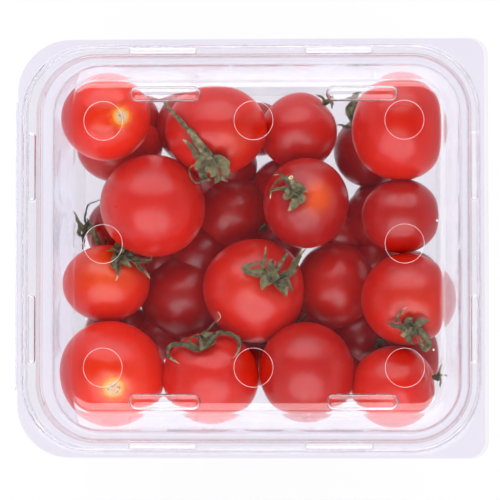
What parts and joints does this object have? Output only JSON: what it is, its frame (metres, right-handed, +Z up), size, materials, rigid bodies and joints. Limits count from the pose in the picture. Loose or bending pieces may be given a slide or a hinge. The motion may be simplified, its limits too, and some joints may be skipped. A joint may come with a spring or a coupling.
{
  "type": "punnet of cherry tomatoes",
  "caption": "Clear hinged clamshell punnet with a vented, domed lid, shut over a heap of red cherry tomatoes in two layers, some with dried green calyxes.",
  "frame": {"origin": "under the middle of the shut pack, on the plane it stands on", "axes": "+X from the hinge towards the side that opens, +Y along the hinge towards the top of the picture, +Z up out of the lid"},
  "size_m": [0.1422, 0.126, 0.0538],
  "materials": {
    "tray_film": "clear gloss",
    "lid_film": "clear gloss",
    "tomato_skin": "glossy red skin"
  },
  "bodies": {
    "tray": {"tray": "tray_film", "tomatoes": "tomato_skin"},
    "lid": {"lid": "lid_film"}
  },
  "joints": [
    {"name": "lid_hinge", "type": "hinge", "parent": "tray", "child": "lid", "pos_m": [-0.0703, 0, 0.036], "axis": [0, -1, 0], "range_deg": [0, 180]}
  ]
}
